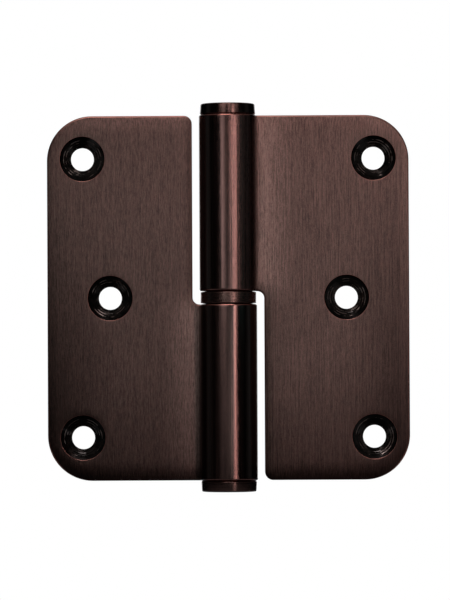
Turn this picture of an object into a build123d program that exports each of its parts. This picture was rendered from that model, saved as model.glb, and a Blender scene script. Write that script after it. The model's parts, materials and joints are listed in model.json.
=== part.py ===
from build123d import *

import os
from math import asin, atan2, degrees, radians, sqrt, tan

# Lift-off paumelle hinge, in millimetres.
# The origin is on the pin axis at mid height, with +Z up along the pin.
# The countersunk faces look to -Y. The frame leaf, with the lower knuckle and the pin,
# lies to -X, and the door leaf, with the upper knuckle, lies to +X.

# Leaf blank
leaf_height = 89.0  # along the pin
open_width = 88.3  # over both leaves, opened flat
sheet = 3.0  # thickness of the rolled sheet
corner_radius = 11.0  # the two outer corners of each leaf
inner_corner_radius = 2.0  # the free corner beside the other leaf's knuckle
notch_radius = 1.7  # where the free edge turns into the rolled tab
edge_break = 0.4  # broken edge all round the sheet

# Rolled knuckle
bore_diameter = 8.0  # the knuckle is rolled round this
leaf_setback = 1.5  # pin axis to the countersunk face: half the gap of the closed hinge
swage_radius = 3.0  # inside radius of the bend that sets the leaf back
seam_gap = 0.2  # between the end of the roll and the leaf
knuckle_clearance = 1.75  # between a knuckle and the free edge of the other leaf

# Screw holes
hole_diameter = 5.6
countersink_diameter = 11.0
countersink_angle = 90.0
rim_break = 0.15  # broken rim of each countersink
end_hole_rise = 10.5  # top and bottom holes, from the leaf's ends
end_hole_inset = 8.6  # top and bottom holes, from the leaf's outer edge
middle_hole_inset = 15.3  # middle hole, from the leaf's outer edge

# Bearing ring
ring_height = 3.2
ring_step = 0.25  # the rim stands in from the knuckles
ring_relief_width = 1.5  # the outer band of both faces slopes away
ring_relief_depth = 0.3

# Pin
running_clearance = 0.05  # radial, in the ring and in the door leaf's knuckle
pin_headroom = 3.0  # between the pin's top and the top cap's plug
pin_lead = 1.2  # lead-in at the top, for dropping the door on
pin_foot_chamfer = 0.6

# End caps
cap_step = 0.25  # the rim stands in from the knuckle
cap_height = 2.7
cap_taper = 3.5  # degrees of draft on the rim
cap_break = 0.4  # broken edge of the cap's end
cap_foot_chamfer = 0.3  # leaves the shadow line against the knuckle
stem_length = 3.5  # plug pressed into the knuckle's bore
stem_chamfer = 0.5

# Worked out from the sizes above
half_height = leaf_height / 2
half_width = open_width / 2
half_ring = ring_height / 2
bore_radius = bore_diameter / 2
knuckle_radius = bore_radius + sheet
free_edge = knuckle_radius + knuckle_clearance
leaf_back = leaf_setback + sheet
ring_radius = knuckle_radius - ring_step
cap_radius = knuckle_radius - cap_step
stem_end = half_height - stem_length
pin_top = stem_end - pin_headroom
end_hole_height = half_height - end_hole_rise

# The middle of the sheet runs straight, bends back round bend_centre and then rolls round the pin axis.
# The two arcs touch on the line from the axis to bend_centre.
bend_radius = swage_radius + sheet / 2
bend_y = leaf_setback + sheet / 2 + bend_radius
bend_x = sqrt((bore_radius + sheet / 2 + bend_radius) ** 2 - bend_y**2)
bend_centre = (bend_x, bend_y)
roll_start = degrees(atan2(bend_y, bend_x))
roll_end = 360 + degrees(asin((leaf_setback - seam_gap) / knuckle_radius))
roll_turn = roll_end - roll_start
bend_turn = 90 - roll_start
notch_fillet = min(notch_radius, free_edge - bend_x - edge_break)  # ends before the bend

os.makedirs("parts", exist_ok=True)


# Door leaf: one piece of sheet, set back, rolled, notched and drilled
with BuildPart() as door_leaf:
    with BuildSketch(Plane.XY.offset(-half_height)):
        with BuildLine():
            front = Line((half_width, leaf_setback), (bend_x, leaf_setback))
            CenterArc(bend_centre, swage_radius + sheet, 270, -bend_turn)
            roll_inside = CenterArc((0, 0), bore_radius, roll_start, roll_turn)
            roll_outside = CenterArc((0, 0), knuckle_radius, roll_start, roll_turn)
            Line(roll_inside @ 1, roll_outside @ 1)
            back_bend = CenterArc(bend_centre, swage_radius, 270, -bend_turn)
            back = Line(back_bend @ 0, (half_width, leaf_back))
            Line(back @ 1, front @ 0)
        make_face()
    extrude(amount=leaf_height)

    # The lower half of the roll is cut away to make room for the frame leaf's knuckle
    with BuildSketch(Plane.XZ) as notch:
        with BuildLine():
            Polyline(
                (-free_edge, half_ring),
                (free_edge, half_ring),
                (free_edge, -leaf_height),
                (-free_edge, -leaf_height),
                close=True,
            )
        make_face()
        fillet(notch.vertices().group_by(Axis.X)[-1].sort_by(Axis.Y)[-1], notch_fillet)
    extrude(amount=free_edge, both=True, mode=Mode.SUBTRACT)

    outer_corners = door_leaf.edges().filter_by(Axis.Y).group_by(Axis.X)[-1]
    fillet(outer_corners, corner_radius)
    bottom_corners = door_leaf.edges().filter_by(Axis.Y).group_by(Axis.Z)[0]
    fillet(bottom_corners.sort_by(Axis.X)[0], inner_corner_radius)

    # Broken edges: the straight stretches lead the chamfer on into the bend and the roll
    flat_faces = door_leaf.faces().filter_by(Axis.Y).sort_by(Axis.Y)
    outline = flat_faces[0].outer_wire().edges() + flat_faces[-1].outer_wire().edges()
    sharp_edges = outline.filter_by(lambda edge: edge.center().X > bend_x + edge_break)
    chamfer(sharp_edges, edge_break)

    with Locations(Plane.XZ.offset(-leaf_setback)):
        with Locations(
            (half_width - end_hole_inset, end_hole_height),
            (half_width - middle_hole_inset, 0),
            (half_width - end_hole_inset, -end_hole_height),
        ):
            CounterSinkHole(
                hole_diameter / 2,
                countersink_diameter / 2,
                depth=sheet,
                counter_sink_angle=countersink_angle,
            )
    drilled_face = door_leaf.faces().filter_by(Axis.Y).sort_by(Axis.Y)[0]
    chamfer(drilled_face.inner_wires().edges(), rim_break)
door_leaf.part.label = "door_leaf"


# Frame leaf: the same stamping, turned half round about the sight line
with BuildPart() as frame_leaf:
    add(door_leaf.part, rotation=(0, 180, 0))
frame_leaf.part.label = "frame_leaf"


# Hinge pin: pressed into the frame leaf's knuckle, a running fit above it
with BuildPart() as hinge_pin:
    with BuildSketch(Plane.XZ):
        with BuildLine():
            Polyline(
                (0, -stem_end),
                (bore_radius, -stem_end),
                (bore_radius, -half_ring),
                (bore_radius - running_clearance, -half_ring),
                (bore_radius - running_clearance, pin_top),
                (0, pin_top),
                close=True,
            )
        make_face()
    revolve(axis=Axis.Z)
    pin_ends = hinge_pin.edges().filter_by(GeomType.CIRCLE).sort_by(Axis.Z)
    chamfer(pin_ends[0], pin_foot_chamfer)
    chamfer(pin_ends[-1], pin_lead)
hinge_pin.part.label = "hinge_pin"


# Bearing ring: carries the door leaf on the frame leaf's knuckle
with BuildPart() as bearing_ring:
    with BuildSketch(Plane.XZ):
        with BuildLine():
            face_edge = ring_radius - ring_relief_width
            rim_half = half_ring - ring_relief_depth
            Polyline(
                (bore_radius, half_ring),
                (face_edge, half_ring),
                (ring_radius, rim_half),
                (ring_radius, -rim_half),
                (face_edge, -half_ring),
                (bore_radius, -half_ring),
                close=True,
            )
        make_face()
    revolve(axis=Axis.Z)
bearing_ring.part.label = "bearing_ring"


# Top cap: a turned plug that closes the door leaf's knuckle
with BuildPart() as top_cap:
    with BuildSketch(Plane.XZ) as cap_section:
        with BuildLine():
            rim_top = cap_radius - cap_height * tan(radians(cap_taper))
            cap_top = half_height + cap_height
            Polyline(
                (0, stem_end),
                (bore_radius - stem_chamfer, stem_end),
                (bore_radius, stem_end + stem_chamfer),
                (bore_radius, half_height),
                (cap_radius - cap_foot_chamfer, half_height),
                (cap_radius, half_height + cap_foot_chamfer),
                (rim_top, cap_top),
                (0, cap_top),
                close=True,
            )
        make_face()
        top_corner = cap_section.vertices().group_by(Axis.Y)[-1].sort_by(Axis.X)[-1]
        chamfer(top_corner, cap_break)
    revolve(axis=Axis.Z)
top_cap.part.label = "top_cap"


# Bottom cap: the same plug in the frame leaf's knuckle
with BuildPart() as bottom_cap:
    add(top_cap.part, rotation=(0, 180, 0))
bottom_cap.part.label = "bottom_cap"


for piece in (door_leaf, frame_leaf, hinge_pin, bearing_ring, top_cap, bottom_cap):
    export_step(piece.part, f"parts/{piece.part.label}.step")
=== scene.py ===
import json
import math

import bmesh
import bpy
import numpy as np
from mathutils import Matrix, Vector
from mathutils.geometry import delaunay_2d_cdt


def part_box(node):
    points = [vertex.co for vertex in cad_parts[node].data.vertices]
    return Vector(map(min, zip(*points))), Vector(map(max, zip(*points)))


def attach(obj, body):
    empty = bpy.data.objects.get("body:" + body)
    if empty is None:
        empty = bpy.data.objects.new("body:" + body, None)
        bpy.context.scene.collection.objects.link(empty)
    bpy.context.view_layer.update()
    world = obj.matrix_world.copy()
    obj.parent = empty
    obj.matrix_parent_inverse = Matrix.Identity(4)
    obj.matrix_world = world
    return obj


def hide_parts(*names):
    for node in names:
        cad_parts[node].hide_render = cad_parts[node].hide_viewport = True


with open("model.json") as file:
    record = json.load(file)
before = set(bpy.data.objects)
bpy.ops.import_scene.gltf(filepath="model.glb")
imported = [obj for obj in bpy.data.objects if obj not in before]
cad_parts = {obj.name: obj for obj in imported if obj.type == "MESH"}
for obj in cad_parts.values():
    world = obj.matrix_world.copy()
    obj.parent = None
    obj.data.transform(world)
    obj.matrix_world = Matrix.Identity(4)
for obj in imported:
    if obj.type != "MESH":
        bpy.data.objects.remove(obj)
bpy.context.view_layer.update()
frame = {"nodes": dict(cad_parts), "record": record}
mm = 0.001  # shapes are worked out in millimetres
fullTurn = 2 * math.pi
white = (1.0, 1.0, 1.0, 1.0)
black = (0.0, 0.0, 0.0, 1.0)
print("frame loaded:", ", ".join(sorted(frame["nodes"])))


# Sizes that the frame already holds, in millimetres
def boxOf(node):
    low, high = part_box(node)
    return np.array(low) / mm, np.array(high) / mm


def mountOf(name):
    return next(mount for mount in frame["record"]["mounts"] if mount["name"] == name)


leafLow, leafHigh = boxOf("door_leaf")
capLow, capHigh = boxOf("top_cap")
ringHigh = boxOf("bearing_ring")[1]
endScrews = mountOf("door_screws")
middleScrew = mountOf("door_middle_screw")
leafBack = endScrews["pos_m"][1] / mm


# Shapes are lists of patches: points, faces and how worn each point is
joining = {
    "mergeWithin": 2e-6,  # metres, where patches share their edges
    "sharpAbove": 32.0,  # degrees between two faces
}


def gridPatch(points, wear=0.0, closed=False):  # four-sided faces between rows and columns of points
    rows, columns = points.shape[:2]
    index = np.arange(rows * columns).reshape(rows, columns)
    if closed:  # the last column joins the first
        index = np.hstack([index, index[:, :1]])
    faces = np.stack([index[:-1, :-1], index[:-1, 1:], index[1:, 1:], index[1:, :-1]], -1)
    return points.reshape(-1, 3), faces.reshape(-1, 4), np.broadcast_to(wear, (rows, columns)).ravel()


def makePiece(name, patches, body, node, material):
    starts = np.cumsum([0] + [len(points) for points, faces, wear in patches])
    faces = [face for start, patch in zip(starts, patches) for face in (patch[1] + start).tolist()]
    mesh = bpy.data.meshes.new(name)
    mesh.from_pydata(np.vstack([patch[0] for patch in patches]) * mm, [], faces)
    worn = mesh.attributes.new("wear", "FLOAT", "POINT")
    worn.data.foreach_set("value", np.concatenate([patch[2] for patch in patches]).astype(np.float32))
    shell = bmesh.new()
    shell.from_mesh(mesh)
    bmesh.ops.remove_doubles(shell, verts=shell.verts, dist=joining["mergeWithin"])
    bmesh.ops.recalc_face_normals(shell, faces=shell.faces)
    openEdges = sum(1 for edge in shell.edges if not edge.is_manifold)
    shell.to_mesh(mesh)
    shell.free()
    mesh.shade_smooth()
    mesh.set_sharp_from_angle(angle=math.radians(joining["sharpAbove"]))
    mesh.materials.append(material)
    piece = bpy.data.objects.new(name, mesh)
    bpy.context.scene.collection.objects.link(piece)
    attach(piece, body)
    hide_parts(node)
    print("piece", name, len(mesh.polygons), "faces,", openEdges, "open edges")


# Shader sums: a socket that takes part in Python expressions
class Wire:
    def __init__(self, tree, socket=None):
        self.tree = tree
        self.socket = socket

    def node(self, kind, settings=None, inputs=None, output=0):
        made = self.tree.nodes.new("ShaderNode" + kind)
        for key, value in (settings or {}).items():
            setattr(made, key, value)
        for key, value in (inputs or {}).items():
            if isinstance(value, Wire):
                self.tree.links.new(value.socket, made.inputs[key])
            else:
                made.inputs[key].default_value = value
        return Wire(self.tree, made.outputs[output] if len(made.outputs) else None)

    def sum(self, operation, *values):
        return self.node("Math", {"operation": operation}, dict(enumerate(values)))

    def __add__(self, other):
        return self.sum("ADD", self, other)

    def __sub__(self, other):
        return self.sum("SUBTRACT", self, other)

    def __rsub__(self, other):
        return self.sum("SUBTRACT", other, self)

    def __mul__(self, other):
        return self.sum("MULTIPLY", self, other)

    def __pow__(self, other):
        return self.sum("POWER", self, other)

    __radd__ = __add__
    __rmul__ = __mul__

    def least(self, other):
        return self.sum("MINIMUM", self, other)

    def ramp(self, low, high):  # 0 below low, 1 above high, smooth between
        limits = {"Value": self, "From Min": low, "From Max": high}
        return self.node("MapRange", {"interpolation_type": "SMOOTHSTEP"}, limits)

    def rampMm(self, low, high):  # the same between two places in millimetres
        return self.ramp(low * mm, high * mm)

    def scaled(self, factor):  # a colour made lighter or darker
        return self.node("VectorMath", {"operation": "SCALE"}, {0: self, "Scale": factor})

    def tint(self, dark, light):  # a colour from dark at 0 to light at 1; 6, 7 and 2 are the colour sockets
        return self.node("Mix", {"data_type": "RGBA"}, {0: self, 6: dark, 7: light}, output=2)


def newMaterial(name):
    material = bpy.data.materials.new(name)
    material.use_nodes = True
    material.node_tree.nodes.clear()
    return material, Wire(material.node_tree)


def setSurface(tree, shader):
    tree.node("OutputMaterial", {}, {"Surface": shader})


def mixShaders(tree, factor, first, second):  # the first where factor is 0, the second where it is 1
    return tree.node("MixShader", {}, {0: factor, 1: first, 2: second})


def metalShader(tree, color, roughness, normal, constants):
    inputs = {"Base Color": color, "Roughness": roughness, "Normal": normal, "Metallic": 1.0}
    return tree.node("BsdfPrincipled", {}, {**inputs, **constants})


def objectPlace(tree):
    place = tree.node("TexCoord", output="Object")
    return place, [place.node("SeparateXYZ", {}, {"Vector": place}, output=axis) for axis in "XYZ"]


def fromAxis(x, y):  # distance from the pin axis
    return (x ** 2.0 + y ** 2.0) ** 0.5


def wornShare(place):
    return place.node("Attribute", {"attribute_name": "wear"}, output="Fac")


bumpDistance = 0.1 * mm  # what a height of 1 stands for


def bumped(height):
    return height.node("Bump", {}, {"Height": height, "Distance": bumpDistance, "Strength": 1.0})


def streaks(place, across, along, shift=0.0, detail=2.0, broken=0.55):
    # Noise drawn out along Z, in marks a metre
    stretch = {"Vector": place, "Scale": (across, across, along), "Location": (shift, 0.0, shift)}
    stretched = place.node("Mapping", {"vector_type": "POINT"}, stretch)
    noise = {"Vector": stretched, "Scale": 1.0, "Detail": detail, "Roughness": broken}
    return place.node("TexNoise", {}, noise)


# Leaf finish: dark bronze, brushed up and down, with bare copper along the worn edges, and painted sheen and
# painted shade
leafFinish = {
    "dark": (0.0555, 0.0315, 0.0275, 1.0),  # between the brush lines
    "rose": (0.193, 0.099, 0.085, 1.0),  # where the brush has cut lighter
    "olive": (0.181, 0.102, 0.087, 1.0),
    "copper": (0.40, 0.150, 0.120, 1.0),
    "knuckle": (0.206, 0.098, 0.085, 1.0),
    "knuckleDark": (0.108, 0.053, 0.047, 1.0),
    "cone": (0.055, 0.047, 0.045, 1.0),
    "coneRing": (0.300, 0.225, 0.205, 1.0),  # where the drill has left it bright
    # Noise: marks a metre across and along, a shift that makes each one its own, and its detail
    "shortLines": (10500.0, 640.0),
    "middleLines": (9500.0, 170.0, 11.9),
    "longLines": (8000.0, 45.0, 7.3),
    "speckle": (9000.0, 4000.0, 1.7),
    "hueLines": (6000.0, 300.0, 3.1),
    "knuckleLines": (3300.0, 18.0, 5.2),
    "sectors": (430.0, 430.0, 0.9, 1.0),  # break the rings on the cones into arcs
    "coneRings": 3400.0,  # a metre
    # How the noises are weighed, and which of their values become dark and light
    "shortShare": 0.54,  # short and long lines together
    "middleShare": 0.25,
    "speckleShare": 0.21,
    "knuckleShares": (0.5, 0.3, 0.2),  # the knuckle's own lines, then middle and short ones
    "hueSpread": (0.4, 0.6),
    "knuckleSpread": (0.39, 0.61),
    "sectorSpread": (0.42, 0.62),
    "ringSpread": (0.46, 0.62),
    "leafRoughness": 0.36,
    "grainRoughness": 0.06,  # how far that changes with the grain
    "lineRoughness": 0.05,  # and the knuckle's with its lines
    "seamRoughness": 0.08,  # how much rougher the knuckle is on the side of its leaf
    "coneRoughness": 0.11,
    "ringRoughness": 0.26,  # more than that on the bright rings
    "leafAnisotropic": 0.87,  # rough across the brush lines, smoother along them
    "knuckleAnisotropic": 0.2,
    "grainBump": 0.05,
    "faceWear": 0.8,  # how bare the worn edges are
    "knuckleWear": 0.6,
    "coneWear": 0.5,
    "paintedSheen": 0.75,  # painted sheen: how much lighter the face is beside its own knuckle
    "paintedOuterShade": 0.61,  # painted shade: how much darker it is at the outer edge, most of all low down
    "foot": 0.75,  # painted shade along the foot's very edge
    "paintedRecessShade": 0.85,  # painted shade: how much darker the corner is where the face runs in under the knuckle
    "gap": 0.6,  # painted shade on the roll's far side, which faces the other leaf's edge
    "beside": 0.36,  # painted shade on the free edge, beside the other knuckle
    # Where each of these starts and ends, in millimetres out from the pin
    "knuckleAt": (7.02, 7.5),
    "paintedSheenAt": (8.5, 17.5),
    "paintedOuterShadeAt": (24.0, 44.0),
    "outerAt": (41.0, 43.8),
    "recessFrom": (4.4, 6.2),
    "recessTo": (6.5, 7.6),
    "gapAt": (-6.6, -4.6),
    "seamAt": (-0.5, 1.5),
    "besideAt": (8.9, 11.4),
    # And in height
    "rolledAt": (-3.0, 5.0),  # from the plain half to the rolled half
    "paintedOuterShadeBelow": (-32.0, 50.0),
    "lowAt": (-47.0, -12.0),
    "footAt": (-45.0, -39.5),
    "topAt": (39.5, 44.0),
    # And from the cone's rim, the leaf's back and the hole's axis
    "coneRim": (-0.12, 0.02),
    "coneBack": (-0.2, -0.05),
    "ringsTo": (4.7, 5.1),
}

# What differs between the two leaves
leafOwn = {
    "door": {
        "side": 1,  # to +X
        "face": 1.02,  # how light the face is
        "grain": 0.090,  # how soft its grain is
        "longShare": 0.28,  # how much of the grain is long lines
        "top": 0.0,  # painted highlight: how much lighter the top edge is
        "outer": 0.22,  # and the outer edge: painted light where above 0, painted shade where below 0
        "low": 0.42,  # painted shade: how much darker the face is towards its foot
        "knuckleRoughness": 0.19,
    },
    "frame": {
        "side": -1,
        "face": 0.95,
        "grain": 0.116,
        "longShare": 0.16,
        "top": 0.38,
        "outer": -0.2,
        "low": 0.29,
        "knuckleRoughness": 0.142,
    },
}


def fromHole(x, z, side):  # distance from the axis of the nearest screw hole
    places = side * holePlaces * mm
    holes = [((x - holeX) ** 2.0 + (z - holeZ) ** 2.0) ** 0.5 for holeX, holeZ in places]
    return holes[0].least(holes[1]).least(holes[2])


def leafBronze(name, own):
    s = {**leafFinish, **own}
    material, tree = newMaterial(name)
    place, (x, y, z) = objectPlace(tree)
    wear = wornShare(place)
    out = x * s["side"]  # away from the pin
    rolledHalf = (z * s["side"]).rampMm(*s["rolledAt"])
    short = streaks(place, *s["shortLines"])
    middling = streaks(place, *s["middleLines"])
    grain = short * (s["shortShare"] - s["longShare"]) + middling * s["middleShare"]
    grain = grain + streaks(place, *s["longLines"]) * s["longShare"]
    grain = grain + streaks(place, *s["speckle"]) * s["speckleShare"]
    grain = grain.ramp(0.5 - s["grain"], 0.5 + s["grain"])
    hue = streaks(place, *s["hueLines"]).ramp(*s["hueSpread"])

    # Painted light and shade: where the leaf is lighter or darker than its plain face
    paintedSheen = 1.0 + s["paintedSheen"] * rolledHalf * (1.0 - out.rampMm(*s["paintedSheenAt"]))
    paintedOuterShade = 1.0 - s["paintedOuterShade"] * out.rampMm(*s["paintedOuterShadeAt"]) * (1.0 - z.rampMm(*s["paintedOuterShadeBelow"]))
    # painted shade, darker towards the foot
    low = 1.0 - s["low"] * (1.0 - z.rampMm(*s["lowAt"]))
    # painted shade along the foot's very edge
    foot = 1.0 - s["foot"] * (1.0 - z.rampMm(*s["footAt"]))
    beside = 1.0 - s["beside"] * (1.0 - rolledHalf) * (1.0 - out.rampMm(*s["besideAt"]))
    # painted highlight along the top edge
    top = 1.0 + s["top"] * z.rampMm(*s["topAt"])
    # painted light on the outer edge where outer is above 0, painted shade where it is below
    outer = 1.0 + s["outer"] * out.rampMm(*s["outerAt"])
    corner = out.rampMm(*s["recessFrom"]) * (1.0 - out.rampMm(*s["recessTo"]))
    paintedRecessShade = 1.0 - s["paintedRecessShade"] * rolledHalf * corner
    gap = 1.0 - s["gap"] * (1.0 - out.rampMm(*s["gapAt"]))

    # Round the screw holes the cone is turned, not brushed; the back is brushed right up to the hole
    away = fromHole(x, z, s["side"])
    coneRim = [leaf["countersink"] + step for step in s["coneRim"]]
    coneBack = [leafBack + step for step in s["coneBack"]]
    cone = (1.0 - away.rampMm(*coneRim)) * (1.0 - y.rampMm(*coneBack))
    rings = place.node("TexNoise", {"noise_dimensions": "1D"}, {"W": away * s["coneRings"], "Scale": 1.0})
    sectors = streaks(place, *s["sectors"]).ramp(*s["sectorSpread"])
    rings = rings.ramp(*s["ringSpread"]) * sectors * (1.0 - away.rampMm(*s["ringsTo"]))  # none at the rim

    # The flat leaf, its grain scaled by the painted sheen and painted shade
    color = grain.tint(s["dark"], hue.tint(s["olive"], s["rose"])).scaled(paintedSheen * paintedOuterShade * low * paintedRecessShade)
    color = (wear * s["faceWear"]).tint(color, s["copper"]).scaled(foot * beside * top * outer * s["face"])
    color = (cone * (1.0 - s["coneWear"] * wear)).tint(color, rings.tint(s["cone"], s["coneRing"]))
    roughness = s["leafRoughness"] + (grain - 0.5) * s["grainRoughness"]
    roughness = roughness * (1.0 - cone) + cone * (s["coneRoughness"] + s["ringRoughness"] * rings)
    normal = bumped((1.0 - cone) * short * s["grainBump"])
    flat = metalShader(tree, color, roughness, normal, {"Anisotropic": s["leafAnisotropic"]})

    # The rolled knuckle
    ownShare, middleShare, shortShare = s["knuckleShares"]
    lines = streaks(place, *s["knuckleLines"]) * ownShare + middling * middleShare + short * shortShare
    lines = lines.ramp(*s["knuckleSpread"])
    color = lines.tint(s["knuckleDark"], s["knuckle"])
    # painted shade where the roll meets its own leaf and on its far side
    color = (wear * s["knuckleWear"]).tint(color, s["copper"]).scaled(paintedRecessShade * gap)
    roughness = s["knuckleRoughness"] + (lines - 0.5) * s["lineRoughness"]
    roughness = roughness + s["seamRoughness"] * out.rampMm(*s["seamAt"])
    normal = bumped(lines * s["grainBump"])
    rolled = metalShader(tree, color, roughness, normal, {"Anisotropic": s["knuckleAnisotropic"]})
    knuckle = 1.0 - fromAxis(x, y).rampMm(*s["knuckleAt"])
    setSurface(tree, mixShaders(tree, knuckle, flat, rolled))
    return material


# Turned finish: fine rings round the axis, on the sides and on the end faces
turnedFinish = {
    "dark": (0.044, 0.025, 0.022, 1.0),
    "cut": (0.104, 0.057, 0.050, 1.0),
    "copper": (0.12, 0.058, 0.049, 1.0),
    "grooves": 3600.0,  # a metre
    "speckle": 3400.0,
    "speckleDetail": 2.0,
    "spread": (0.34, 0.66),
    "wear": 0.5,
    "roughnessChange": 0.08,
    "anisotropic": 0.25,
    "rotation": 0.25,  # a quarter turn, because the rings run across
    "grooveBump": 0.05,
    "grainyBump": 2.0,  # how much deeper that is where there is nothing but grain
}

# What differs between the caps and the bearing ring
turnedOwn = {
    "cap": {"roughness": 0.2, "grainy": 0.15, "lightness": 1.0},
    "ring": {"roughness": 0.28, "grainy": 0.75, "lightness": 1.45},
}


def turnedMarks(place, x, y, z, scale, detail=3.0):
    # Noise of radius and height alone, so that it runs in rings
    section = place.node("CombineXYZ", {}, {"X": fromAxis(x, y), "Y": z})
    inputs = {"Vector": section, "Scale": scale, "Detail": detail}
    return place.node("TexNoise", {"noise_dimensions": "2D"}, inputs)


def turnedBronze(name, own):
    s = {**turnedFinish, **own}
    material, tree = newMaterial(name)
    place, (x, y, z) = objectPlace(tree)
    noise = {"Vector": place, "Scale": s["speckle"], "Detail": s["speckleDetail"]}
    speckle = place.node("TexNoise", {}, noise)
    marks = turnedMarks(place, x, y, z, s["grooves"]) * (1.0 - s["grainy"]) + speckle * s["grainy"]
    marks = marks.ramp(*s["spread"])
    color = (wornShare(place) * s["wear"]).tint(marks.tint(s["dark"], s["cut"]), s["copper"])
    color = color.scaled(s["lightness"])
    roughness = s["roughness"] + (marks - 0.5) * s["roughnessChange"]
    normal = bumped(marks * (s["grooveBump"] * (1.0 + s["grainyBump"] * s["grainy"])))
    constants = {"Anisotropic": s["anisotropic"], "Anisotropic Rotation": s["rotation"]}
    setSurface(tree, metalShader(tree, color, roughness, normal, constants))
    return material


# Pin: bare ground steel, seen only when the door is lifted off
pinFinish = {
    "dark": (0.42, 0.41, 0.40, 1.0),
    "light": (0.46, 0.45, 0.43, 1.0),
    "grooves": 3000.0,  # a metre
    "spread": (0.35, 0.65),
    "roughness": 0.26,
    "roughnessChange": 0.06,
    "bump": 0.003,
}


def groundSteel(name):
    s = pinFinish
    material, tree = newMaterial(name)
    place, (x, y, z) = objectPlace(tree)
    marks = turnedMarks(place, x, y, z, s["grooves"]).ramp(*s["spread"])
    color = marks.tint(s["dark"], s["light"])
    roughness = s["roughness"] + marks * s["roughnessChange"]
    setSurface(tree, metalShader(tree, color, roughness, bumped(marks * s["bump"]), {}))
    return material


# Leaf: one sheet with a crowned face, rounded edges, countersunk holes and a rolled knuckle
leaf = {
    "halfWidth": leafHigh[0],
    "halfHeight": leafHigh[2],
    "knuckleRadius": -leafLow[0],
    "tabEnd": ringHigh[2],  # the rolled half stops at the ring
    "hole": endScrews["dims"]["hole_r_mm"],
    "sheet": 3.0,
    "setback": 1.5,  # pin axis to the countersunk face
    "swage": 3.0,  # inside radius of the bend beside the knuckle
    "seam": 0.2,  # left open at the end of the roll
    "freeEdge": 8.75,  # from the pin axis, beside the other knuckle
    "cornerRadius": 11.0,
    "innerRadius": 2.0,
    "notchRadius": 1.7,
    "countersink": 5.5,  # radius at the face
    "coneHalf": 45.0,  # degrees from the hole's axis
    "rimRound": 0.22,
    "rimWear": 0.6,
    "ripple": 0.010,  # the drill has left fine rings on the cone
    "ripplePitches": (0.62, 0.47),
    "rippleFade": 1.4,  # they die out towards the rim
    "crownWidth": 6.0,  # brushing rolls the face off towards its edges
    "crownDepth": 0.21,
    "crownPower": 3.0,
    "dishWidth": 1.4,  # and a little towards the holes
    "dishDepth": 0.04,
    "edgeRound": 0.48,
    "edgeBand": 1.2,  # worked as a strip along the edge
    "wornWidth": 0.42,
    "wornPower": 0.7,
    "flatAt": 276.0,  # the roll is a little flat before its seam, degrees round from the leaf's side
    "flatWidth": 18.0,
    "flatDepth": 0.13,
    # How finely it is divided
    "meshStep": 0.8,
    "crownRows": 5,
    "innerRows": 7,
    "roundRows": 9,
    "cornerRows": 31,
    "smallCornerRows": 13,
    "rimRows": 7,
    "coneRows": 65,
    "holeSegments": 96,
    "bendRows": 13,
    "rollRows": 145,
    "joinWithin": 1e-6,  # where the face's triangles meet its outline
    "holeShare": 0.999,  # a triangle whose middle is nearer the axis than this lies in the hole
}
leaf["bore"] = leaf["knuckleRadius"] - leaf["sheet"]
endX, endZ = endScrews["pos_m"][0] / mm, endScrews["dims"]["spacing_y_mm"] / 2
holePlaces = np.array([(endX, endZ), (middleScrew["pos_m"][0] / mm, 0.0), (endX, -endZ)])


def crown(d, share=1.0):  # depth * (1 - d / width) ** power, at distance d from the edge
    return share * leaf["crownDepth"] * np.clip(1 - d / leaf["crownWidth"], 0, 1) ** leaf["crownPower"]


def dish(x, z):  # depth * (1 - d / width) ** 2, at distance d from the nearest hole's rim
    d = np.min([np.hypot(x - holeX, z - holeZ) for holeX, holeZ in holePlaces], 0) - leaf["countersink"]
    return leaf["dishDepth"] * np.clip(1 - d / leaf["dishWidth"], 0, 1) ** 2


def edgeDistance(x, z):
    # To the nearest edge: a rectangle with two round corners, less the notch, with one small round corner
    s = leaf
    beyondX = x - s["halfWidth"] + s["cornerRadius"]
    beyondZ = np.abs(z) - s["halfHeight"] + s["cornerRadius"]
    corner = s["cornerRadius"] - np.hypot(beyondX, beyondZ)
    straight = np.minimum(s["halfWidth"] - x, s["halfHeight"] - np.abs(z))
    outer = np.where((beyondX > 0) & (beyondZ > 0), corner, straight)
    besideX = x - s["freeEdge"] + s["notchRadius"]
    besideZ = z - s["tabEnd"] + s["notchRadius"]
    notch = np.hypot(np.maximum(besideX, 0), np.maximum(besideZ, 0)) - s["notchRadius"]
    insideX = s["freeEdge"] + s["innerRadius"] - x
    insideZ = z + s["halfHeight"] - s["innerRadius"]
    free = s["innerRadius"] - np.hypot(insideX, insideZ)
    nearest = np.minimum(outer, notch)
    return np.where((insideX > 0) & (insideZ < 0), np.minimum(nearest, free), nearest)


def frontDepth(x, z):  # how far the front lies behind a flat face
    return crown(edgeDistance(x, z)) + dish(x, z)


def backDepth(x, z):
    return leaf["sheet"] - crown(edgeDistance(x, z))


def edgeSection(share=1.0):
    # From the face out to the side and round to the back: the crown, then a round that starts at its slope
    s = leaf
    start = math.atan(share * s["crownDepth"] * s["crownPower"] / s["crownWidth"])
    crownEnd = s["edgeRound"] * (1 - math.sin(start))
    d = np.linspace(s["edgeBand"], crownEnd, s["crownRows"])
    turn = np.linspace(start, math.pi / 2, s["roundRows"])[1:]
    middle = crown(crownEnd, share) + s["edgeRound"] * math.cos(start)
    depth = np.concatenate([crown(d, share), middle - s["edgeRound"] * np.cos(turn)])
    d = np.concatenate([d, s["edgeRound"] * (1 - np.sin(turn))])
    return np.concatenate([d, d[::-1]]), np.concatenate([depth, s["sheet"] - depth[::-1]])


def bendGeometry():
    # The sheet bends back round bendX, bendY and then rolls round the pin axis; the two arcs touch
    s = leaf
    bendY = s["setback"] + s["sheet"] + s["swage"]
    bendX = math.sqrt((s["bore"] + s["sheet"] + s["swage"]) ** 2 - bendY ** 2)
    rollStart = math.atan2(bendY, bendX)
    rollEnd = fullTurn + math.asin((s["setback"] - s["seam"]) / s["knuckleRadius"])
    return bendX, bendY, rollStart, rollEnd


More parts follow.
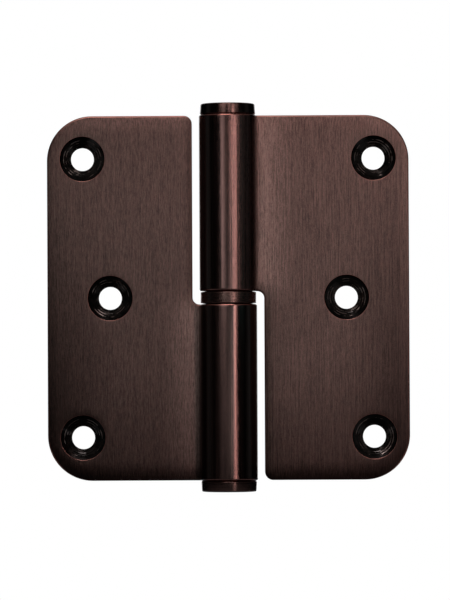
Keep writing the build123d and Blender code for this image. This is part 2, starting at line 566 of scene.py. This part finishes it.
def outlineInset(d):
    # The outline moved in by each distance d, from the top of the roll round to its lower end:
    # centre + (radius - d) * direction at a corner, and radius + d at the notch
    s = leaf
    bendX = bendGeometry()[0]
    right, top = s["halfWidth"] - s["cornerRadius"], s["halfHeight"] - s["cornerRadius"]
    free = (s["freeEdge"] + s["innerRadius"], s["innerRadius"] - s["halfHeight"])
    notch = (s["freeEdge"] - s["notchRadius"], s["tabEnd"] - s["notchRadius"])
    arcs = [
        ((right, top), s["cornerRadius"] - d, (90, 0), s["cornerRows"]),
        ((right, -top), s["cornerRadius"] - d, (0, -90), s["cornerRows"]),
        (free, s["innerRadius"] - d, (270, 180), s["smallCornerRows"]),
        (notch, s["notchRadius"] + d, (0, 90), s["smallCornerRows"]),
    ]
    rows = [np.stack([np.full_like(d, bendX), s["halfHeight"] - d], -1)[None]]
    for centre, radius, (first, last), count in arcs:
        angle = np.radians(np.linspace(first, last, count))[:, None]
        rows.append(np.array(centre) + np.stack([radius * np.cos(angle), radius * np.sin(angle)], -1))
    rows.append(np.stack([np.full_like(d, bendX), s["tabEnd"] + d], -1)[None])
    return np.vstack(rows)


def facePatch(outline, holeRadius, depthAt, circle):
    # Inside the outline, less a circle round each hole: triangles on a square grid, at depthAt(x, z)
    s = leaf
    step = s["meshStep"]
    rim = holeRadius * np.stack([np.cos(circle), np.sin(circle)], -1)
    loops = [outline] + [hole + rim for hole in holePlaces]
    starts = np.cumsum([0] + [len(loop) for loop in loops])
    edges = [
        (int(start + index), int(start + (index + 1) % (end - start)))
        for start, end in zip(starts, starts[1:])
        for index in range(end - start)
    ]
    low, high = outline.min(0), outline.max(0)
    gridX, gridZ = np.meshgrid(np.arange(low[0], high[0], step), np.arange(low[1], high[1], step))
    grid = np.stack([gridX, gridZ], -1).reshape(-1, 2)
    clear = edgeDistance(*grid.T) > s["edgeBand"] + step / 2
    clear &= grid[:, 0] > low[0] + step / 2
    clear &= np.all([np.hypot(*(grid - hole).T) > holeRadius + step / 2 for hole in holePlaces], 0)
    corners = [Vector(point) for point in np.vstack(loops + [grid[clear]]).tolist()]
    insideOnly = 1  # Blender's number for triangles inside the loops
    flat, _, faces, *_ = delaunay_2d_cdt(corners, edges, [], insideOnly, s["joinWithin"])
    flat = np.array([tuple(point) for point in flat])
    faces = np.array(faces)
    middle = flat[faces].mean(1)
    holeEdge = holeRadius * s["holeShare"]
    outside = np.all([np.hypot(*(middle - hole).T) > holeEdge for hole in holePlaces], 0)
    points = np.stack([flat[:, 0], s["setback"] + depthAt(*flat.T), flat[:, 1]], -1)
    return points, faces[outside], np.zeros(len(points))


def rimRadius():  # where the face starts to round over into the cone
    return leaf["countersink"] + leaf["rimRound"] * math.tan(math.radians(leaf["coneHalf"] / 2))


def holePatch(x, z, circle):
    # The rounded rim, the cone, then the straight hole; the rim follows the face
    # The cone's rings are two sines of the radius that beat against each other
    s = leaf
    turn = np.radians(np.linspace(0, s["coneHalf"], s["rimRows"]))
    rim = rimRadius() - s["rimRound"] * np.sin(turn)
    slope = np.linspace(rim[-1], s["hole"], s["coneRows"])[1:]
    rings = s["ripple"] * sum(np.sin(fullTurn * slope / pitch) for pitch in s["ripplePitches"])
    rings = rings * np.clip((rim[-1] - slope) / s["rippleFade"], 0, 1)
    radius = np.concatenate([rim, slope, [s["hole"]]])[:, None]
    rimSink = s["rimRound"] * (1 - np.cos(turn))
    coneSink = (s["countersink"] - slope) / math.tan(math.radians(s["coneHalf"])) + rings
    sink = np.concatenate([rimSink, coneSink, [s["sheet"]]])[:, None]
    rimWorn = s["rimWear"] * np.sin(math.pi * turn / turn[-1]).clip(0, 1)  # most of all half way over the rim
    worn = np.concatenate([rimWorn, np.zeros(len(slope) + 1)])[:, None]
    across, up = x + radius * np.cos(circle), z + radius * np.sin(circle)
    sink = np.minimum(sink + frontDepth(across[0], up[0]), s["sheet"])
    return gridPatch(np.stack([across, s["setback"] + sink, up], -1), worn, closed=True)


def rollSection(inner, share):  # distance from the edge and depth, from one face round to the other
    d, depth = edgeSection(share)
    faces = crown(inner, share)
    depth = np.concatenate([faces, depth, leaf["sheet"] - faces[::-1]])
    return np.stack([np.concatenate([inner, d, inner[::-1]]), depth])[:, None]


def rolledPatches(inner, worn):
    # The section of the sheet carried round the bend and then the pin axis, losing its crown in the bend:
    # centre + reach * direction, where reach is counted through the sheet
    s = leaf
    bendX, bendY, rollStart, rollEnd = bendGeometry()
    bend = np.linspace(1.5 * math.pi, math.pi + rollStart, s["bendRows"])
    roll = np.linspace(rollStart, rollEnd, s["rollRows"])[1:]
    angle = np.concatenate([bend, roll])[:, None]
    isBend = (np.arange(len(angle)) < len(bend))[:, None]
    share = np.concatenate([np.linspace(1, 0, len(bend)), np.zeros(len(roll))])[:, None]
    d, depth = share * rollSection(inner, 1.0) + (1 - share) * rollSection(inner, 0.0)
    height = np.hstack([s["halfHeight"] - d, s["tabEnd"] + d[:, ::-1]])
    depth = np.hstack([depth, depth[:, ::-1]])
    flatness = s["flatDepth"] * np.exp(-((np.degrees(angle) - s["flatAt"]) / s["flatWidth"]) ** 2)
    bendReach = s["swage"] + s["sheet"] - depth
    rollReach = s["bore"] + depth * (1 - flatness / s["sheet"])
    reach = np.where(isBend, bendReach, rollReach)
    sheetX = np.where(isBend, bendX, 0) + np.cos(angle) * reach
    sheetY = np.where(isBend, bendY, 0) + np.sin(angle) * reach
    tab = np.stack([sheetX, sheetY, height], -1)
    worn = np.pad(worn, len(inner))
    count = tab.shape[1]
    rollEndFace = (tab[-1], np.arange(count)[None], np.zeros(count))
    return [gridPatch(tab, np.concatenate([worn, worn[::-1]]), closed=True), rollEndFace]


def leafPatches():
    s = leaf
    d, depth = edgeSection()
    worn = np.clip(1 - d / s["wornWidth"], 0, 1) ** s["wornPower"]
    inset = outlineInset(d)
    sheetY = np.broadcast_to(s["setback"] + depth, inset.shape[:2])
    patches = [gridPatch(np.stack([inset[..., 0], sheetY, inset[..., 1]], -1), worn)]

    # Both faces end on the line where the bend starts, with the same points as the rolled half has there
    inner = np.linspace(s["crownWidth"], s["edgeBand"], s["innerRows"])[:-1]
    bendLine = np.concatenate([s["tabEnd"] + inner[::-1], s["halfHeight"] - inner])
    bendLine = np.stack([np.full_like(bendLine, bendGeometry()[0]), bendLine], -1)
    circle = np.linspace(0, fullTurn, s["holeSegments"], endpoint=False)
    front, back = np.vstack([inset[:, 0], bendLine]), np.vstack([inset[:, -1], bendLine])
    patches.append(facePatch(front, rimRadius(), frontDepth, circle))
    patches.append(facePatch(back, s["hole"], backDepth, circle))
    patches += [holePatch(x, z, circle) for x, z in holePlaces]
    return patches + rolledPatches(inner, worn)


def turnedOver(patches):  # half a turn about Y
    return [(points * (-1, 1, -1), faces, wear) for points, faces, wear in patches]


# Turned pieces: a profile of radius and height, its corners rounded, carried round the pin axis
turning = {"segments": 144, "cornerPoints": 9}


def roundedProfile(corners):
    # Each corner (r, z, round) becomes an arc that touches both its sides
    count = turning["cornerPoints"]
    points, worn = [], []
    places = np.array([corner[:2] for corner in corners], float)
    for index, (r, z, size) in enumerate(corners):
        here, back, on = places[index], places[index - 1], places[(index + 1) % len(places)]
        if not size:
            points.append(here[None])
            worn.append([0.0])
            continue
        a, b = (back - here) / np.linalg.norm(back - here), (on - here) / np.linalg.norm(on - here)
        half = math.acos(np.clip(a @ b, -1, 1)) / 2
        outward = -(a + b) / np.linalg.norm(a + b)
        middle = here - outward * size / math.sin(half)
        sweep = np.linspace(-1, 1, count)[:, None] * (math.pi / 2 - half)
        sideways = np.array([-outward[1], outward[0]])
        sideways = sideways * np.sign(sideways @ (b - a))
        points.append(middle + size * (outward * np.cos(sweep) + sideways * np.sin(sweep)))
        worn.append([1.0] * count)
    return np.vstack(points), np.concatenate(worn)


def lathe(corners):  # (r cos a, r sin a, z) for each point of the profile
    profile, worn = roundedProfile(corners)
    angle = np.linspace(0, fullTurn, turning["segments"], endpoint=False)
    r, z = profile[:, :1], profile[:, 1:]
    points = np.stack([r * np.cos(angle), r * np.sin(angle), np.broadcast_to(z, (len(r), len(angle)))], -1)
    return [gridPatch(points, worn[:, None], closed=True)]


cap = {
    "radius": capHigh[0],
    "foot": leafHigh[2],
    "top": capHigh[2],
    "stem": leaf["bore"],
    "stemEnd": capLow[2],
    "taper": 3.5,  # degrees
    "footBreak": 0.3,
    "footRound": 0.06,
    "stemBreak": 0.5,
    "round": 0.35,
}


def capPatches():
    s = cap
    rimTop = s["radius"] - (s["top"] - s["foot"]) * math.tan(math.radians(s["taper"]))
    return lathe([
        (0.0, s["stemEnd"], 0),
        (s["stem"] - s["stemBreak"], s["stemEnd"], 0),
        (s["stem"], s["stemEnd"] + s["stemBreak"], 0),
        (s["stem"], s["foot"], 0),
        (s["radius"] - s["footBreak"], s["foot"], 0),
        (s["radius"], s["foot"] + s["footBreak"], s["footRound"]),
        (rimTop, s["top"], s["round"]),
        (0.0, s["top"], 0),
    ])


ring = {
    "radius": ringHigh[0],
    "bore": leaf["bore"],
    "half": ringHigh[2],
    "reliefWidth": 1.5,  # the outer band of both faces slopes away
    "reliefDepth": 0.3,
    "round": 0.12,
}


def ringPatches():
    s = ring
    rimHalf, faceEdge = s["half"] - s["reliefDepth"], s["radius"] - s["reliefWidth"]
    return lathe([
        (s["bore"], s["half"], 0),
        (faceEdge, s["half"], 0),
        (s["radius"], rimHalf, s["round"]),
        (s["radius"], -rimHalf, s["round"]),
        (faceEdge, -s["half"], 0),
        (s["bore"], -s["half"], 0),
        (s["bore"], s["half"], 0),
    ])


doorSheet = leafPatches()
doorBronze = leafBronze("doorBronze", leafOwn["door"])
frameBronze = leafBronze("frameBronze", leafOwn["frame"])
makePiece("doorLeaf", doorSheet, "door_side", "door_leaf", doorBronze)
makePiece("frameLeaf", turnedOver(doorSheet), "frame_side", "frame_leaf", frameBronze)
capBronze = turnedBronze("capBronze", turnedOwn["cap"])
ringBronze = turnedBronze("ringBronze", turnedOwn["ring"])
makePiece("topCap", capPatches(), "door_side", "top_cap", capBronze)
makePiece("bottomCap", turnedOver(capPatches()), "frame_side", "bottom_cap", capBronze)
makePiece("bearingRing", ringPatches(), "bearing", "bearing_ring", ringBronze)
frame["nodes"]["hinge_pin"].material_slots[0].material = groundSteel("pinSteel")
print("pieces made")


# Stage: a pale floor, a white surround and dark cards that only reflections see, in metres
stage = {
    "floorHeight": -0.115,
    "floorReach": 4.0,
    "floorPaint": (0.86, 0.86, 0.86, 1.0),
    "floorWhiteAt": (0.16, 0.42),  # the floor pales to the surround between these distances
    "floorRows": 9,
    "floorSegments": 48,
    "cardRadius": 1.7,
    "cardTop": 1.2,
    "cardFoot": 0.004,  # above the floor
    "cardOpening": 25.0,  # degrees each side of straight behind, left open to the white surround
    "cardRows": 5,
    "cardSegments": 96,
    "cardGlow": 0.005,
    "sideGlow": 0.070,  # a little cool light comes round from the sides
    "sideColor": (0.60, 1.0, 1.08, 1.0),
    "sideWidth": 0.45,
    "discGlow": 0.28,  # the disc glows in a ring round the hinge, for views from above
    "discColor": (0.84, 0.95, 1.0, 1.0),
    "discGlowFrom": (0.08, 0.14),
    "discGlowTo": (0.26, 0.34),
    "lidColor": (0.20, 0.185, 0.18, 1.0),  # dimmer than the surround
    "ambient": 0.35,  # the surround's light on the object, where what is seen of it is 1
}


def darkCard(name, color, glow=None):  # glow is a function of the place, or none where the card is one colour
    material, tree = newMaterial(name)
    if glow:
        color = (stage["cardGlow"] + glow(*objectPlace(tree)[1])).tint(black, color)
    setSurface(tree, tree.node("Emission", {}, {"Color": color, "Strength": 1.0}))
    return material


def sideGlow(x, y, z):  # strongest straight out to the left and right
    return stage["sideGlow"] * (1.0 - (y ** 2.0).ramp(0.0, stage["sideWidth"] ** 2))


def discGlow(x, y, z):  # a ring: dark under the hinge and dark again further off
    away = fromAxis(x, y)
    return stage["discGlow"] * away.ramp(*stage["discGlowFrom"]) * (1.0 - away.ramp(*stage["discGlowTo"]))


def stageObject(name, points, material, closed):
    vertices, faces, _ = gridPatch(points, closed=closed)
    mesh = bpy.data.meshes.new(name)
    mesh.from_pydata(vertices, [], faces.tolist())
    mesh.materials.append(material)
    made = bpy.data.objects.new(name, mesh)
    bpy.context.scene.collection.objects.link(made)
    return made


def seenRays(tree):  # 1 where the camera, a reflection or glass looks, 0 for other light
    kinds = ("Camera", "Glossy", "Transmission")
    camera, glossy, glass = (tree.node("LightPath", output=f"Is {kind} Ray") for kind in kinds)
    return (camera + glossy + glass).least(1.0)


def paleFloor():
    material, tree = newMaterial("paleFloor")
    place = tree.node("TexCoord", output="Object")
    away = place.node("VectorMath", {"operation": "LENGTH"}, {0: place}, output="Value")
    far = away.ramp(*stage["floorWhiteAt"]) * seenRays(tree)
    diffuse = tree.node("BsdfDiffuse", {}, {"Color": stage["floorPaint"]})
    glow = tree.node("Emission", {}, {"Color": white, "Strength": 1.0})
    setSurface(tree, mixShaders(tree, far, diffuse, glow))
    return material


def roundPlate(radius, height, rows, segments):  # reach * direction at one height, from the middle out
    reach = np.linspace(0, radius, rows)[:, None]
    angle = np.linspace(0, fullTurn, segments, endpoint=False)
    return np.stack([reach * np.cos(angle), reach * np.sin(angle), np.full((rows, segments), height)], -1)


def openDrum(radius, foot, top, rows, segments, opening):  # radius * direction at each height, open behind
    angle = np.linspace(math.pi / 2 + opening, math.pi / 2 + fullTurn - opening, segments + 1)
    angle, height = np.meshgrid(angle, np.linspace(foot, top, rows))
    return np.stack([radius * np.cos(angle), radius * np.sin(angle), height], -1)


def buildStage():
    s = stage
    floor = roundPlate(s["floorReach"], s["floorHeight"], s["floorRows"], s["floorSegments"])
    stageObject("floor", floor, paleFloor(), closed=True)

    # Dark cards: a drum round the object, open behind it, a disc just above the floor and a lid
    foot, top = s["floorHeight"] + s["cardFoot"], s["cardTop"]
    finely = (s["cardRows"], s["cardSegments"])
    drum = openDrum(s["cardRadius"], foot, top, *finely, math.radians(s["cardOpening"]))
    disc = roundPlate(s["cardRadius"], foot, *finely)
    lid = roundPlate(s["cardRadius"], top, *finely)
    for name, points, closed, color, glow in (
        ("darkDrum", drum, False, s["sideColor"], sideGlow),
        ("darkDisc", disc, True, s["discColor"], discGlow),
        ("dimLid", lid, True, s["lidColor"], None),
    ):
        card = stageObject(name, points, darkCard(name, color, glow), closed)
        card.visible_camera = card.visible_diffuse = card.visible_shadow = False
        card.visible_transmission = False


def whiteWorld():
    world = bpy.data.worlds.new("whiteSurround")
    bpy.context.scene.world = world
    world.use_nodes = True
    world.node_tree.nodes.clear()
    tree = Wire(world.node_tree)
    strength = stage["ambient"] + (1.0 - stage["ambient"]) * seenRays(tree)
    glow = tree.node("Background", {}, {"Color": white, "Strength": strength})
    tree.node("OutputWorld", {}, {"Surface": glow})


# Lamps, in metres: glow is the brightness of the lamp's face, 1 being white paper
wattsForGlow = 4.0  # a square metre of lamp, at a glow of 1
lampColors = {
    "white": (1.0, 1.0, 1.0),
    "warm": (1.0, 0.93, 0.92),  # the bright ones on the right
    "warmer": (1.0, 0.87, 0.86),
    "nearlyCool": (0.83, 1.0, 1.02),
    "cool": (0.75, 1.0, 1.03),  # the dim ones
    "coolest": (0.3, 1.0, 1.05),
}
lamps = {
    "leftStrip": {"at": (-0.074, -0.25, 0.045), "size": (0.050, 0.082), "glow": 1.74, "color": "nearlyCool"},
    "leftFill": {"at": (-0.060, -0.25, 0.003), "size": (0.120, 0.094), "glow": 0.18, "color": "cool"},
    "rightHigh": {"at": (0.105, -0.25, 0.078), "size": (0.030, 0.056), "glow": 7.6, "color": "warm"},
    "rightMiddle": {"at": (0.105, -0.25, 0.023), "size": (0.030, 0.054), "glow": 4.2, "color": "warm"},
    "rightLower": {"at": (0.103, -0.25, -0.034), "size": (0.034, 0.060), "glow": 3.0, "color": "warmer"},
    "rightInner": {"at": (0.075, -0.25, 0.006), "size": (0.030, 0.092), "glow": 1.5, "color": "cool"},
    "rightLow": {"at": (0.030, -0.25, -0.022), "size": (0.060, 0.054), "glow": 0.55, "color": "cool"},
    "rightEdge": {"at": (0.300, -0.25, 0.045), "size": (0.200, 0.080), "glow": 0.08, "color": "coolest"},
    "overheadLeft": {"at": (-0.095, -0.25, 0.145), "size": (0.120, 0.070), "glow": 1.6},
    "overheadRight": {"at": (0.150, -0.25, 0.150), "size": (0.140, 0.080), "glow": 0.9},
    "capLight": {"at": (0.030, -0.25, 0.118), "size": (0.024, 0.040), "glow": 5.4},
    "footLight": {"at": (0.105, -0.25, -0.092), "size": (0.030, 0.036), "glow": 2.4},
    "overhead": {"at": (-0.03, -0.20, 0.40), "size": (0.220, 0.200), "glow": 5.0, "aim": (0.0, 0.0, 0.04)},
}


def addLamp(name, at, size, glow, aim=None, color="white"):
    light = bpy.data.lights.new(name, "AREA")
    light.shape = "RECTANGLE"
    light.size, light.size_y = size
    light.energy = glow * wattsForGlow * size[0] * size[1]
    light.color = lampColors[color]
    lamp = bpy.data.objects.new(name, light)
    lamp.location = at
    toward = Vector(aim or (0.0, 0.0, at[2])) - Vector(at)  # level, unless it has an aim
    lamp.rotation_euler = toward.to_track_quat("-Z", "Y").to_euler()
    lamp.visible_camera = False
    bpy.context.scene.collection.objects.link(lamp)


buildStage()
whiteWorld()
for name, lamp in lamps.items():
    addLamp(name, **lamp)
print("stage and lamps set")


# Camera: nearly straight on, framed as the photograph is
camera = {
    "distance": 1.0,  # to the leaves' face, in metres
    "elevation": -1.0,  # degrees
    "roll": 0.28,
    "pixelsPerMm": 4.10,
    "originAt": (228.4, 297.7),  # the pin axis at mid height, in the picture
    "imageSize": (450, 600),
    "clip": (0.01, 20.0),
}


def addCamera():
    s = camera
    scale = s["pixelsPerMm"] / mm  # pixels a metre at the leaves' face
    data = bpy.data.cameras.new("camera")
    data.lens = data.sensor_width * s["distance"] * scale / s["imageSize"][1]
    data.clip_start, data.clip_end = s["clip"]
    eye = bpy.data.objects.new("camera", data)
    tilt = Matrix.Rotation(math.radians(90 - s["elevation"]), 3, "X")
    turn = tilt @ Matrix.Rotation(math.radians(-s["roll"]), 3, "Z")
    aside = (s["imageSize"][0] / 2 - s["originAt"][0]) / scale
    up = (s["originAt"][1] - s["imageSize"][1] / 2) / scale
    eye.location = Vector((0, leaf["setback"] * mm, 0)) + turn @ Vector((aside, up, s["distance"]))
    eye.rotation_euler = turn.to_euler()
    bpy.context.scene.collection.objects.link(eye)
    bpy.context.scene.camera = eye


addCamera()
bpy.context.scene.view_settings.view_transform = "Standard"
print("camera set")
